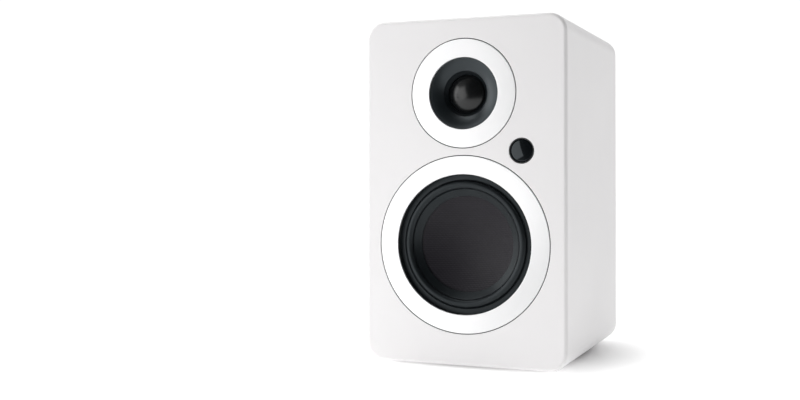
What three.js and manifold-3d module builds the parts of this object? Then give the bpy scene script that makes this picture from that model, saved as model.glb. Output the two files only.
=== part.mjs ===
// Powered bookshelf speaker. A seamless painted cabinet carries a woven-dish woofer and a soft-dome
// tweeter behind flat metal trim rings, a flush push-and-turn control on the front, and an amplifier
// panel with sockets on the back.
//
// Millimetres. X points right as seen from the front, Y points to the back and Z points up. The origin
// is the middle of the object's footprint, on the surface that the feet stand on.
// Inside the cabinet group a place is (x, depth behind the front face, height above the underside).

import * as THREE from 'three';
import { mergeVertices } from 'three/addons/utils/BufferGeometryUtils.js';
import Module from 'manifold-3d';

const wasm = await Module();
wasm.setup();

// ---------------------------------------------------------------- driving dimensions

const CABINET = { width: 145, height: 238.5, depth: 164, corner: 12.5, edge: 2.5, wall: 12 };
const BAFFLE_DEPTH = 15;
const REAR_PANEL_DEPTH = 12;
const GAP = 0.3; // clearance round a piece that sits in a pocket
const TRIM_DEPTH = 1.5; // thickness of both trim rings, which lie flush with the front face

const FOOT = { radius: 8, height: 1.5, x: 48, inset: 18 };
const GRILLE_MAGNET = { radius: 5, thickness: 3, skin: 2.3, x: 58, low: 36, high: 222 };

const WOOFER = { z: 82.9, opening: 48.2, rim: 60.8, screwCircle: 57.2 };
const SURROUND = { outer: 44, inner: 38.2, crest: 2.4, seat: 5, foot: 5.5, lip: 33.3, lipDepth: 8.5 };
const DISH = { rim: 37.6, rimDepth: 6.9, edge: 33, edgeDepth: 9.6, sag: 7.4, thickness: 0.8 };
const BASKET = { wall: 1.2, hole: 53.6, seat: 5.8, shelf: 28.4, bottom: 34.4, cup: 31 };
const COIL = { inner: 12.5, former: 12.9, winding: 13.5 };
const MOTOR = { plate: 4, magnet: 12, plateRadius: 30, magnetRadius: 35, pole: 11.8, gap: 14.3 };

const TWEETER = { z: 186.6, opening: 24.8, rim: 37.35, screwCircle: 32.8, throat: 15.8, mouth: 13.5 };
const FLARE = 1.75;
const DOME = { radius: 12.2, base: 8.9, rise: 4, skirt: 10.2, thickness: 0.6 };
const TWEETER_MOTOR = { front: 11.2, plate: 3, magnet: 9, back: 3, pole: 10.6, gap: 13.2 };

const CONTROL = { x: 41.4, z: 146.8, hole: 8.95, knob: 7.6, shaft: 3, board: 29 };

const PORT = { z: 196, bore: 17, mouth: 23.5, lip: 26.5, proud: 1.5, inner: 94 };
const AMP = { z: 92, width: 108, height: 146, plate: 2, trayWidth: 92, trayHeight: 132, trayDepth: 26 };
const SOCKET = { z: 138, rcaX: 20, rcaPitch: 14, opticalX: -24 };
const TERMINAL = { z: 104, pitch: 19, stud: 2, cap: 5.5, proud: 17, collar: 2 };
const INLET = { x: 22, z: 41, width: 27, height: 15, pinPitch: 8.6 };
const SWITCH = { x: -26, z: 41, width: 15, height: 21, tilt: 10 };

// ---------------------------------------------------------------- derived dimensions

const REAR = CABINET.depth;
const OVERALL_DEPTH = REAR + TERMINAL.proud;
const FRONT_Y = -OVERALL_DEPTH / 2;
const CAVITY = {
  width: CABINET.width - 2 * CABINET.wall,
  height: CABINET.height - 2 * CABINET.wall,
  corner: 3,
};
const MID_Z = CABINET.height / 2;
const PLATE_BACK = REAR + AMP.plate;
const SOCKET_FACE = PLATE_BACK + 2; // outer face of the inlet, the switch and the terminal block
const TRAY_FLOOR = REAR - AMP.trayDepth + 1.5;
const BOARD = 1.6; // circuit board thickness
const WOOFER_RECESS = WOOFER.rim + GAP + 0.1;
const TWEETER_RECESS = TWEETER.rim + GAP + 0.1;
const TWEETER_FLANGE = TRIM_DEPTH + 4;
const TWEETER_BODY = 28.2;
const FLANGE_BACK = BASKET.seat + BASKET.wall;

const FINE = 32; // segments round the large turned pieces
const MEDIUM = 24;
const SMALL = 12;

// ---------------------------------------------------------------- materials

const finish = (color, roughness, metalness = 0) => ({ color, roughness, metalness });
const FINISH = {
  paint: finish(0xf2f0ef, 0.4),
  board: finish(0x8a6a48, 0.9),
  silver: finish(0xd9d9db, 0.25, 1),
  blackPlastic: finish(0x17181a, 0.45),
  glossBlack: finish(0x08090a, 0.08),
  rubber: finish(0x1b1c1e, 0.6),
  weave: finish(0x28262b, 0.55),
  cloth: finish(0xb38b4a, 0.9),
  steel: finish(0xa6a8ab, 0.4, 1),
  blackSteel: finish(0x1c1d1f, 0.5, 0.6),
  ferrite: finish(0x3a3a3c, 0.8),
  copper: finish(0xb8703c, 0.4, 1),
  silk: finish(0x0c0c0e, 0.2),
  circuit: finish(0x1d5a34, 0.5),
  gold: finish(0xcaa24c, 0.3, 1),
  redPlastic: finish(0xa81c1c, 0.35),
  wadding: finish(0xe6e4de, 1),
  zinc: finish(0xb9bcc0, 0.35, 1),
};

// ---------------------------------------------------------------- shape helpers

function volume(position, index) {
  const corner = [new THREE.Vector3(), new THREE.Vector3(), new THREE.Vector3()];
  let total = 0;
  for (let i = 0; i < index.length; i += 3) {
    corner.forEach((point, k) => point.fromBufferAttribute(position, index[i + k]));
    total += corner[0].dot(corner[1].clone().cross(corner[2])) / 6;
  }
  return total;
}

// One closed skin with shared corners, no flat-out triangles, and its faces pointing out.
function closed(geometry) {
  geometry.deleteAttribute('normal');
  geometry.deleteAttribute('uv');
  const merged = mergeVertices(geometry, 1e-4);
  const index = [];
  for (let i = 0; i < merged.index.count; i += 3) {
    const [a, b, c] = [0, 1, 2].map((k) => merged.index.getX(i + k));
    if (a !== b && b !== c && c !== a) index.push(a, b, c);
  }
  merged.setIndex(volume(merged.attributes.position, index) > 0 ? index : index.reverse());
  return merged;
}

function toSolid(geometry) {
  const vertProperties = Float32Array.from(geometry.attributes.position.array);
  const triVerts = Uint32Array.from(geometry.index.array);
  return new wasm.Manifold(new wasm.Mesh({ numProp: 3, vertProperties, triVerts }));
}

function toGeometry(solid) {
  const mesh = solid.getMesh();
  const geometry = new THREE.BufferGeometry();
  geometry.setAttribute('position', new THREE.BufferAttribute(Float32Array.from(mesh.vertProperties), 3));
  geometry.setIndex(Array.from(mesh.triVerts));
  return geometry;
}

const joined = (first, ...rest) => toGeometry(rest.reduce((sum, g) => sum.add(toSolid(g)), toSolid(first)));
const cut = (body, ...tools) => toGeometry(tools.reduce((sum, g) => sum.subtract(toSolid(g)), toSolid(body)));
const shared = (a, b) => toGeometry(toSolid(a).intersect(toSolid(b)));
const moved = (geometry, x, depth, z) => geometry.clone().translate(x, depth, z);

// Swaps the second and third axes, so what was drawn facing up faces the back, and the reverse.
function swapped(geometry) {
  geometry.applyMatrix4(new THREE.Matrix4().set(1, 0, 0, 0, 0, 0, 1, 0, 0, 1, 0, 0, 0, 0, 0, 1));
  return geometry;
}

// A profile of [radius, depth] points turned about the front-to-back axis. It starts and ends on the
// axis, or its last point repeats its first.
function turned(profile, segments = FINE) {
  const points = profile.map(([radius, depth]) => new THREE.Vector2(radius, depth));
  return closed(new THREE.LatheGeometry(points, segments));
}

const disc = (radius, front, back, segments = FINE) =>
  turned([[0, front], [radius, front], [radius, back], [0, back]], segments);

const ring = (inner, outer, front, back, segments = FINE) =>
  turned([[inner, front], [outer, front], [outer, back], [inner, back], [inner, front]], segments);

// A skin of even depth behind a front profile, as one closed loop.
function sheet(front, thickness, segments = FINE) {
  const back = front.map(([radius, depth]) => [radius, depth + thickness]).reverse();
  return turned([...front, ...back, front[0]], segments);
}

function roundedRect(width, height, radius, x = 0, z = 0) {
  const [left, right, low, high] = [x - width / 2, x + width / 2, z - height / 2, z + height / 2];
  const shape = new THREE.Shape();
  shape.absarc(right - radius, low + radius, radius, -Math.PI / 2, 0);
  shape.absarc(right - radius, high - radius, radius, 0, Math.PI / 2);
  shape.absarc(left + radius, high - radius, radius, Math.PI / 2, Math.PI);
  shape.absarc(left + radius, low + radius, radius, Math.PI, 1.5 * Math.PI);
  shape.closePath();
  return shape;
}

function slab(shape, front, back, curveSegments = 4) {
  const flat = new THREE.ExtrudeGeometry(shape, { depth: back - front, bevelEnabled: false, curveSegments });
  return closed(swapped(flat).translate(0, front, 0));
}

const bar = (width, height, front, back, x = 0, z = 0) =>
  closed(new THREE.BoxGeometry(width, back - front, height).translate(x, (front + back) / 2, z));

const polar = (radius, degrees) => {
  const angle = THREE.MathUtils.degToRad(degrees);
  return [radius * Math.sin(angle), radius * Math.cos(angle)];
};

// Points of a curve given by a function of t, from 0 to 1.
const curve = (steps, point) => Array.from({ length: steps + 1 }, (_, i) => point(i / steps));

// ---------------------------------------------------------------- assembly

const speaker = new THREE.Group();
const cabinet = new THREE.Group();
cabinet.position.set(0, FRONT_Y, FOOT.height);
speaker.add(cabinet);

function place(name, geometry, surface, x = 0, z = 0, parent = cabinet) {
  const mesh = new THREE.Mesh(geometry, new THREE.MeshStandardMaterial(surface));
  mesh.name = name;
  mesh.position.set(x, 0, z);
  parent.add(mesh);
}

// ---------------------------------------------------------------- cabinet

function cabinetBlank() {
  const shape = roundedRect(CABINET.width, CABINET.height, CABINET.corner, 0, MID_Z);
  const blank = new THREE.ExtrudeGeometry(shape, {
    depth: CABINET.depth - 2 * CABINET.edge,
    bevelThickness: CABINET.edge,
    bevelSize: CABINET.edge,
    bevelOffset: -CABINET.edge,
    bevelSegments: 3,
    curveSegments: 6,
  });
  return closed(swapped(blank).translate(0, CABINET.edge, 0));
}

const magnetPlaces = [-1, 1].flatMap((side) => ['low', 'high'].map((level) => ({
  name: `grille_magnet_${side < 0 ? 'left' : 'right'}_${level}`,
  x: side * GRILLE_MAGNET.x,
  z: GRILLE_MAGNET[level],
})));
const wooferScrews = [45, 135, 225, 315].map((angle) => polar(WOOFER.screwCircle, angle));
const tweeterScrews = [0, 120, 240].map((angle) => polar(TWEETER.screwCircle, angle));

// The front board: a rebate and a through hole for each driver, the control's hole, pilot holes for the
// driver screws, and blind pockets bored from behind for the magnets that hold a grille.
function frontBaffle() {
  const blank = shared(
    cabinetBlank(),
    bar(CABINET.width + 2, CABINET.height + 2, -1, BAFFLE_DEPTH, 0, MID_Z),
  );
  const through = BAFFLE_DEPTH + 1;
  const cuts = [
    moved(disc(WOOFER_RECESS, -1, FLANGE_BACK), 0, 0, WOOFER.z),
    moved(disc(BASKET.hole + 0.9, 0, through), 0, 0, WOOFER.z),
    moved(disc(TWEETER_RECESS, -1, TWEETER_FLANGE), 0, 0, TWEETER.z),
    moved(disc(TWEETER_BODY + 0.4, 0, through), 0, 0, TWEETER.z),
    moved(disc(CONTROL.hole, -1, through, MEDIUM), CONTROL.x, 0, CONTROL.z),
  ];
  for (const [x, z] of wooferScrews) cuts.push(moved(disc(1.8, 5, 14.4, 8), x, 0, WOOFER.z + z));
  for (const [x, z] of tweeterScrews) cuts.push(moved(disc(1.6, 5, 13.4, 8), x, 0, TWEETER.z + z));
  for (const { x, z } of magnetPlaces) {
    cuts.push(moved(disc(GRILLE_MAGNET.radius + GAP, GRILLE_MAGNET.skin - 0.2, through, SMALL), x, 0, z));
  }
  return cut(blank, ...cuts);
}

function cabinetSleeve() {
  const shell = shared(
    cabinetBlank(),
    bar(CABINET.width + 2, CABINET.height + 2, BAFFLE_DEPTH, REAR + 1, 0, MID_Z),
  );
  const hollow = roundedRect(CAVITY.width, CAVITY.height, CAVITY.corner, 0, MID_Z);
  return cut(shell, slab(hollow, BAFFLE_DEPTH - 1, REAR + 2));
}

function rearPanel() {
  const outline = roundedRect(
    CAVITY.width - 2 * GAP, CAVITY.height - 2 * GAP, CAVITY.corner - GAP, 0, MID_Z);
  const front = REAR - REAR_PANEL_DEPTH;
  return cut(
    slab(outline, front, REAR),
    bar(AMP.trayWidth + 2, AMP.trayHeight + 2, front - 1, REAR + 1, 0, AMP.z),
    moved(disc(24.3, front - 1, REAR + 1, MEDIUM), 0, 0, PORT.z),
  );
}

// The port: a straight bore that flares at the back into a rounded lip resting on the rear panel.
function portTube() {
  const lip = REAR + PORT.proud;
  const flare = curve(5, (t) => [
    PORT.bore + (PORT.mouth - PORT.bore) * (1 - Math.cos((t * Math.PI) / 2)),
    REAR - 14 + (PORT.proud + 14) * Math.sin((t * Math.PI) / 2),
  ]);
  return turned([
    [PORT.bore, PORT.inner], ...flare, [PORT.lip, lip], [PORT.lip, REAR], [24, REAR],
    [24, REAR - REAR_PANEL_DEPTH], [PORT.bore + 2, REAR - 18], [PORT.bore + 2, PORT.inner],
    [PORT.bore, PORT.inner],
  ], MEDIUM);
}

// Felted lining: one sheet up the left wall, across the floor and up the right wall.
function dampingWadding() {
  const [front, back, thickness, height] = [36, 130, 10, 160];
  const width = CAVITY.width - 0.8;
  const middle = CABINET.wall + 0.4 + height / 2;
  const outer = slab(roundedRect(width, height, CAVITY.corner, 0, middle), front, back);
  return cut(outer, bar(width - 2 * thickness, height, front - 1, back + 1, 0, middle + thickness));
}

function addCabinet() {
  place('front_baffle', frontBaffle(), FINISH.paint);
  place('cabinet_sleeve', cabinetSleeve(), FINISH.paint);
  place('rear_panel', rearPanel(), FINISH.paint);
  place('port_tube', portTube(), FINISH.blackPlastic, 0, PORT.z);
  place('damping_wadding', dampingWadding(), FINISH.wadding);
  const magnetBack = GRILLE_MAGNET.skin + GRILLE_MAGNET.thickness;
  for (const { name, x, z } of magnetPlaces) {
    place(name, disc(GRILLE_MAGNET.radius, GRILLE_MAGNET.skin, magnetBack, SMALL), FINISH.steel, x, z);
  }
}

function addFeet() {
  const { radius, height, x, inset } = FOOT;
  const profile = [[0, 0], [radius - 0.5, 0], [radius, 0.5], [radius, height], [0, height]];
  for (const [end, depth] of [['front', inset], ['rear', REAR - inset]]) {
    for (const [side, sign] of [['left', -1], ['right', 1]]) {
      const pad = closed(swapped(turned(profile, SMALL)));
      place(`foot_${end}_${side}`, moved(pad, 0, FRONT_Y + depth, 0), FINISH.rubber, sign * x, 0, speaker);
    }
  }
}

// ---------------------------------------------------------------- woofer

// The half roll between the flat outer flange and the sloping lip that is glued to the dish.
function surroundProfile() {
  const middle = (SURROUND.outer + SURROUND.inner) / 2;
  const half = (SURROUND.outer - SURROUND.inner) / 2;
  const roll = curve(6, (t) => {
    const base = SURROUND.seat + (SURROUND.foot - SURROUND.seat) * t;
    const angle = Math.PI * t;
    return [middle + half * Math.cos(angle), base - (base - SURROUND.crest) * Math.sin(angle)];
  });
  return [[50.2, SURROUND.seat], ...roll, [SURROUND.lip, SURROUND.lipDepth]];
}

// One-piece dish: a sloping rim under the surround's lip, then a bowl that is deepest on the axis.
function wooferDish() {
  const bowl = curve(5, (t) => {
    const radius = DISH.edge * t;
    return [radius, DISH.edgeDepth + DISH.sag * (1 - t ** 2)];
  });
  const front = [...bowl, [DISH.rim, DISH.rimDepth]];
  const back = front.map(([radius, depth]) => [radius, depth + DISH.thickness]).reverse();
  return turned([...front, ...back]);
}

function spiderProfile() {
  const pleats = curve(8, (t) => [30.2 - t * 16.6, 27.7 - 0.6 * Math.cos(t * 8 * Math.PI)]);
  return [[38.6, 27.7], ...pleats];
}

// Pressed steel basket: a flange, a windowed cone, a shelf for the spider and a cup for the motor.
function wooferBasket() {
  const { wall, hole, seat, shelf, bottom, cup } = BASKET;
  const shoulder = 21.4;
  const shell = turned([
    [44.6, seat], [60.5, seat], [60.5, seat + wall], [hole, seat + wall], [51, shoulder],
    [39.5, shelf + wall], [cup + wall, shelf + wall], [cup + wall, bottom + wall],
    [14.8, bottom + wall], [14.8, bottom], [cup, bottom], [cup, shelf], [39, shelf],
    [49.9, shoulder - 0.6], [hole - 1.3, seat + wall], [44.6, seat + wall], [44.6, seat],
  ]);
  const windows = [0, 60, 120, 180, 240, 300].map((middle) => {
    const sector = new THREE.Shape();
    const corners = [[41.5, middle - 21], [41.5, middle + 21], [58, middle + 21], [58, middle - 21]];
    sector.setFromPoints(corners.map(([radius, angle]) => new THREE.Vector2(...polar(radius, angle))));
    return slab(sector, 9, 25.6);
  });
  const screwHoles = wooferScrews.map(([x, z]) => moved(disc(1.9, seat - 1, seat + 2, 8), x, 0, z));
  return cut(shell, ...windows, ...screwHoles);
}

// Moulded spacer between the basket flange and the trim ring, with a pocket for each screw head.
function wooferSpacer() {
  const back = BASKET.seat;
  const body = turned([
    [WOOFER.opening + 0.3, TRIM_DEPTH], [60.5, TRIM_DEPTH], [60.5, back], [50.5, back],
    [50.5, SURROUND.seat], [WOOFER.opening + 0.3, SURROUND.seat], [WOOFER.opening + 0.3, TRIM_DEPTH],
  ]);
  return cut(body, ...wooferScrews.map(([x, z]) => moved(disc(3.1, 1, back + 1, 12), x, 0, z)));
}

// Pan-head screw with its head on the given plane.
function screw(plane, headRadius, headHeight, shankRadius, length) {
  return turned([
    [0, plane - headHeight], [headRadius * 0.7, plane - headHeight], [headRadius, plane],
    [shankRadius, plane], [shankRadius, plane + length - 1.5], [0, plane + length],
  ], 12);
}

function voiceCoil() {
  const { inner, former, winding } = COIL;
  return turned([
    [inner, 17.6], [former, 17.6], [former, 34], [winding, 34], [winding, 41.2], [inner, 41.2],
    [inner, 17.6],
  ], MEDIUM);
}

// A steel disc with the pole that stands in the coil.
const yoke = (radius, pole, poleFront, plateFront, back) =>
  turned([[0, poleFront], [pole, poleFront], [pole, plateFront], [radius, plateFront], [radius, back],
    [0, back]], MEDIUM);

// Phenolic strip with two solder tags, on the side of the motor cup.
function terminalStrip() {
  const strip = bar(16, 1.4, 29.9, 34, 0, BASKET.cup + BASKET.wall + 1.2);
  const tags = [-5, 5].map((x) => bar(3, 5, 31, 32, x, BASKET.cup + BASKET.wall + 4));
  return joined(strip, ...tags);
}

function addWoofer() {
  const z = WOOFER.z;
  const plateFront = BASKET.bottom + BASKET.wall;
  const magnetFront = plateFront + MOTOR.plate;
  const yokeFront = magnetFront + MOTOR.magnet;
  place('woofer_trim_ring', ring(WOOFER.opening, WOOFER.rim, 0, TRIM_DEPTH), FINISH.silver, 0, z);
  place('woofer_spacer', wooferSpacer(), FINISH.blackPlastic, 0, z);
  place('woofer_basket', wooferBasket(), FINISH.blackSteel, 0, z);
  place('woofer_surround', sheet(surroundProfile(), 0.8), FINISH.rubber, 0, z);
  place('woofer_cone', wooferDish(), FINISH.weave, 0, z);
  place('woofer_voice_coil', voiceCoil(), FINISH.copper, 0, z);
  place('woofer_spider', sheet(spiderProfile(), 0.7, MEDIUM), FINISH.cloth, 0, z);
  place('woofer_top_plate',
    ring(MOTOR.gap, MOTOR.plateRadius, plateFront, magnetFront, MEDIUM), FINISH.zinc, 0, z);
  place('woofer_magnet', ring(17, MOTOR.magnetRadius, magnetFront, yokeFront, MEDIUM), FINISH.ferrite, 0, z);
  place('woofer_yoke', yoke(31, MOTOR.pole, plateFront + 0.4, yokeFront, yokeFront + 4), FINISH.zinc, 0, z);
  place('woofer_terminal_strip', terminalStrip(), FINISH.board, 0, z);
  wooferScrews.forEach(([x, up], i) => {
    place(`woofer_screw_${i + 1}`, screw(BASKET.seat, 2.8, 1.8, 1.5, 8.2), FINISH.blackSteel, x, z + up);
  });
}

// ---------------------------------------------------------------- tweeter

// The faceplate: a shallow flared mouth that narrows to a steep throat round the dome.
function tweeterWaveguide() {
  const [throatDepth, mouthDepth, lipBack, pocket, back] = [5.2, 9, 10.2, 16.5, TWEETER_MOTOR.front];
  const lip = TWEETER.opening + 0.1;
  const flare = curve(5, (t) => [
    lip + (TWEETER.throat - lip) * t,
    TRIM_DEPTH + (throatDepth - TRIM_DEPTH) * t ** FLARE,
  ]);
  const body = turned([
    ...flare, [TWEETER.mouth, mouthDepth], [TWEETER.mouth, lipBack], [pocket, lipBack],
    [pocket, back], [TWEETER_BODY, back], [TWEETER_BODY, TWEETER_FLANGE], [37, TWEETER_FLANGE],
    [37, TRIM_DEPTH], flare[0],
  ]);
  const holes = tweeterScrews.flatMap(([x, z]) => [
    moved(disc(2.9, 1, 3.3, 12), x, 0, z),
    moved(disc(1.7, 3, TWEETER_FLANGE + 1, 8), x, 0, z),
  ]);
  return cut(body, ...holes);
}

// A spherical cap on a short straight skirt.
function dome() {
  const sphere = (DOME.radius ** 2 + DOME.rise ** 2) / (2 * DOME.rise);
  const centre = DOME.base - DOME.rise + sphere;
  const skin = (inward) => curve(5, (t) => {
    const out = (DOME.radius - inward) * t;
    return [out, centre - Math.sqrt((sphere - inward) ** 2 - out ** 2)];
  });
  const inner = DOME.radius - DOME.thickness;
  return turned([
    ...skin(0), [DOME.radius, DOME.skirt], [inner, DOME.skirt], ...skin(DOME.thickness).reverse(),
  ], MEDIUM);
}

function tweeterSurround() {
  const roll = curve(4, (t) => [13.4 - 0.8 * t, DOME.skirt - 0.4 * Math.sin(Math.PI * t)]);
  return sheet([[16.2, DOME.skirt], ...roll], 0.4, MEDIUM);
}

function addTweeter() {
  const z = TWEETER.z;
  const { front, plate, magnet, back, pole, gap } = TWEETER_MOTOR;
  const magnetFront = front + plate;
  const backFront = magnetFront + magnet;
  place('tweeter_trim_ring', ring(TWEETER.opening, TWEETER.rim, 0, TRIM_DEPTH), FINISH.silver, 0, z);
  place('tweeter_waveguide', tweeterWaveguide(), FINISH.blackPlastic, 0, z);
  place('tweeter_dome', dome(), FINISH.silk, 0, z);
  place('tweeter_surround', tweeterSurround(), FINISH.silk, 0, z);
  place('tweeter_voice_coil', ring(11.6, 12.2, DOME.skirt, 15.6, MEDIUM), FINISH.copper, 0, z);
  place('tweeter_front_plate', ring(gap, 26, front, magnetFront, MEDIUM), FINISH.zinc, 0, z);
  place('tweeter_magnet', ring(16.2, 27.5, magnetFront, backFront, MEDIUM), FINISH.ferrite, 0, z);
  place('tweeter_yoke', yoke(25.5, pole, front + 0.3, backFront, backFront + back), FINISH.zinc, 0, z);
  tweeterScrews.forEach(([x, up], i) => {
    place(`tweeter_screw_${i + 1}`, screw(3.3, 2.5, 1.5, 1.3, 9.5), FINISH.blackSteel, x, z + up);
  });
}

// ---------------------------------------------------------------- front control

function controlKnob() {
  const { knob, shaft } = CONTROL;
  return turned([
    [0, 0], [knob * 0.5, 0.08], [knob * 0.85, 0.3], [knob, 0.8], [knob, 9], [shaft + GAP, 9],
    [shaft + GAP, 3], [0, 3],
  ], MEDIUM);
}

function addControl() {
  const { x, z, hole, knob, shaft, board } = CONTROL;
  const bodyFront = board - 10;
  const sleeve = roundedRect(34, 22, 1.5);
  sleeve.holes.push(roundedRect(28, 16, 1));
  place('control_knob', controlKnob(), FINISH.glossBlack, x, z);
  place('control_bezel', ring(knob + 0.35, hole - GAP, 0, 6, MEDIUM), FINISH.blackPlastic, x, z);
  place('encoder_shaft', disc(shaft, 3.3, bodyFront + 6.2, SMALL), FINISH.zinc, x, z);
  place('push_collar', ring(shaft + GAP, 5.2, bodyFront + 1, bodyFront + 3.4, SMALL), FINISH.zinc, x, z);
  place('encoder_body', cut(bar(14, 14, bodyFront, board), disc(5.6, bodyFront - 1, board - 2, SMALL)),
    FINISH.blackPlastic, x, z);
  place('control_bracket', slab(sleeve, BAFFLE_DEPTH, board, 2), FINISH.blackPlastic, x, z);
  place('control_board', bar(34, 22, board, board + BOARD), FINISH.circuit, x, z);
}

// ---------------------------------------------------------------- amplifier panel

function ampPlate() {
  const clear = 2 * GAP;
  const [front, back] = [REAR - 1, PLATE_BACK + 1];
  return cut(
    slab(roundedRect(AMP.width, AMP.height, 4, 0, AMP.z), REAR, PLATE_BACK),
    bar(30 + clear, 14 + clear, front, back, SOCKET.rcaX, SOCKET.z),
    bar(11 + clear, 11 + clear, front, back, SOCKET.opticalX, SOCKET.z),
    bar(34 + clear, 14 + clear, front, back, 0, TERMINAL.z),
    bar(INLET.width - 4 + clear, INLET.height - 3 + clear, front, back, INLET.x, INLET.z),
    bar(SWITCH.width - 2 + clear, SWITCH.height - 2 + clear, front, back, SWITCH.x, SWITCH.z),
  );
}

// A folded tray that closes the electronics off from the air inside the cabinet.
function ampTray() {
  const front = REAR - AMP.trayDepth;
  return cut(
    bar(AMP.trayWidth, AMP.trayHeight, front, REAR, 0, AMP.z),
    bar(AMP.trayWidth - 3, AMP.trayHeight - 3, TRAY_FLOOR, REAR + 1, 0, AMP.z),
  );
}

function transformer(front) {
  return joined(bar(36, 30, front, front + 12), bar(22, 22, front, front + 18));
}

// Two phono jacks moulded into one block, each with a central contact hole.
function phonoBlock() {
  const face = PLATE_BACK + 1;
  const places = [-SOCKET.rcaPitch / 2, SOCKET.rcaPitch / 2];
  const barrels = places.map((x) => moved(disc(4.15, face - 1, face + 8, SMALL), x, 0, 0));
  const bores = places.map((x) => moved(disc(1.7, face - 4, face + 9, 8), x, 0, 0));
  return cut(joined(bar(30, 14, REAR - 12, face), ...barrels), ...bores);
}

function opticalSocket() {
  const face = PLATE_BACK + 1;
  return cut(bar(11, 11, REAR - 12, face), bar(5.8, 5.8, face - 8, face + 1));
}

// Two-pin appliance inlet with an oblong well and two bare pins standing on its floor.
function mainsInlet() {
  const { width, height, pinPitch } = INLET;
  const floor = SOCKET_FACE - 13;
  const body = joined(
    bar(width, height, PLATE_BACK, SOCKET_FACE),
    bar(width - 4, height - 3, REAR - 18, PLATE_BACK + 1),
  );
  const well = slab(roundedRect(17.2, 8.2, 4.05), floor, SOCKET_FACE + 1, 5);
  const pins = [-pinPitch / 2, pinPitch / 2].map((x) => (
    moved(disc(1.2, floor - 1, floor + 10.5, 8), x, 0, 0)
  ));
  return joined(cut(body, well), ...pins);
}

function switchHousing() {
  const { width, height } = SWITCH;
  const body = joined(
    bar(width, height, PLATE_BACK, SOCKET_FACE),
    bar(width - 2, height - 2, REAR - 14, PLATE_BACK + 1),
  );
  return cut(body, bar(width - 4.2, height - 3.2, SOCKET_FACE - 9, SOCKET_FACE + 1));
}

// A two-faced rocker, tilted to its off position about the pivot behind its face.
function powerRocker() {
  const section = new THREE.Shape();
  const outline = [[-7.9, 4.2], [0, 3.4], [7.9, 4.2], [7.9, 0.5], [3, -3], [-3, -3], [-7.9, 0.5]];
  section.setFromPoints(outline.map(([along, out]) => new THREE.Vector2(along, out)));
  const width = SWITCH.width - 5;
  const block = new THREE.ExtrudeGeometry(section, { depth: width, bevelEnabled: false });
  block.translate(0, 0, -width / 2);
  // The section is drawn along Z and out along Y, and its thickness lies along X.
  block.applyMatrix4(new THREE.Matrix4().set(0, 0, 1, 0, 0, 1, 0, 0, 1, 0, 0, 0, 0, 0, 0, 1));
  block.rotateX(THREE.MathUtils.degToRad(SWITCH.tilt));
  return closed(block.translate(0, SOCKET_FACE - 3, 0));
}

// Terminal block with the two threaded studs that its caps run on.
function terminalBase() {
  const { pitch, stud, proud } = TERMINAL;
  const face = PLATE_BACK + 2.5;
  const studs = [-pitch / 2, pitch / 2].map((x) => (
    moved(disc(stud, face - 1, REAR + proud - 1, 12), x, 0, 0)
  ));
  return joined(bar(42, 20, PLATE_BACK, face), bar(34, 14, REAR - 6, PLATE_BACK + 1), ...studs);
}

function addTerminals() {
  const { z, pitch, stud, cap, proud, collar } = TERMINAL;
  const collarFront = PLATE_BACK + 3;
  const capFront = collarFront + collar + GAP;
  place('terminal_base', terminalBase(), FINISH.blackPlastic, 0, z);
  for (const [colour, sign, surface] of [['red', 1, FINISH.redPlastic], ['black', -1, FINISH.blackPlastic]]) {
    const x = (sign * pitch) / 2;
    const bore = stud + 0.4;
    place(`terminal_collar_${colour}`,
      ring(bore, cap - 0.5, collarFront, collarFront + collar, SMALL), FINISH.gold, x, z);
    place(`terminal_cap_${colour}`, ring(bore, cap, capFront, REAR + proud, SMALL), surface, x, z);
  }
}

function addAmplifier() {
  const boardBack = TRAY_FLOOR + BOARD;
  place('amp_plate', ampPlate(), FINISH.blackSteel);
  place('amp_tray', ampTray(), FINISH.steel);
  place('amp_board', bar(84, 124, TRAY_FLOOR, boardBack, 0, AMP.z), FINISH.circuit);
  place('mains_transformer', transformer(boardBack), FINISH.ferrite, -20, AMP.z - 20);
  place('phono_sockets', phonoBlock(), FINISH.blackPlastic, SOCKET.rcaX, SOCKET.z);
  place('optical_socket', opticalSocket(), FINISH.blackPlastic, SOCKET.opticalX, SOCKET.z);
  place('mains_inlet', mainsInlet(), FINISH.blackPlastic, INLET.x, INLET.z);
  place('switch_housing', switchHousing(), FINISH.blackPlastic, SWITCH.x, SWITCH.z);
  place('power_rocker', powerRocker(), FINISH.blackPlastic, SWITCH.x, SWITCH.z);
  addTerminals();
}

addCabinet();
addFeet();
addWoofer();
addTweeter();
addControl();
addAmplifier();

export default speaker;
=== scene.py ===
"""Looks of the powered bookshelf speaker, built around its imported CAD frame.

Profiles are in millimetres: a radius, or a place across the front, and a depth behind the front face.
Everything else is in metres, in the frame's own axes: X right, Y to the back, Z up.
"""
import math

import bmesh
import bpy
from mathutils import Matrix, Quaternion, Vector


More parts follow.
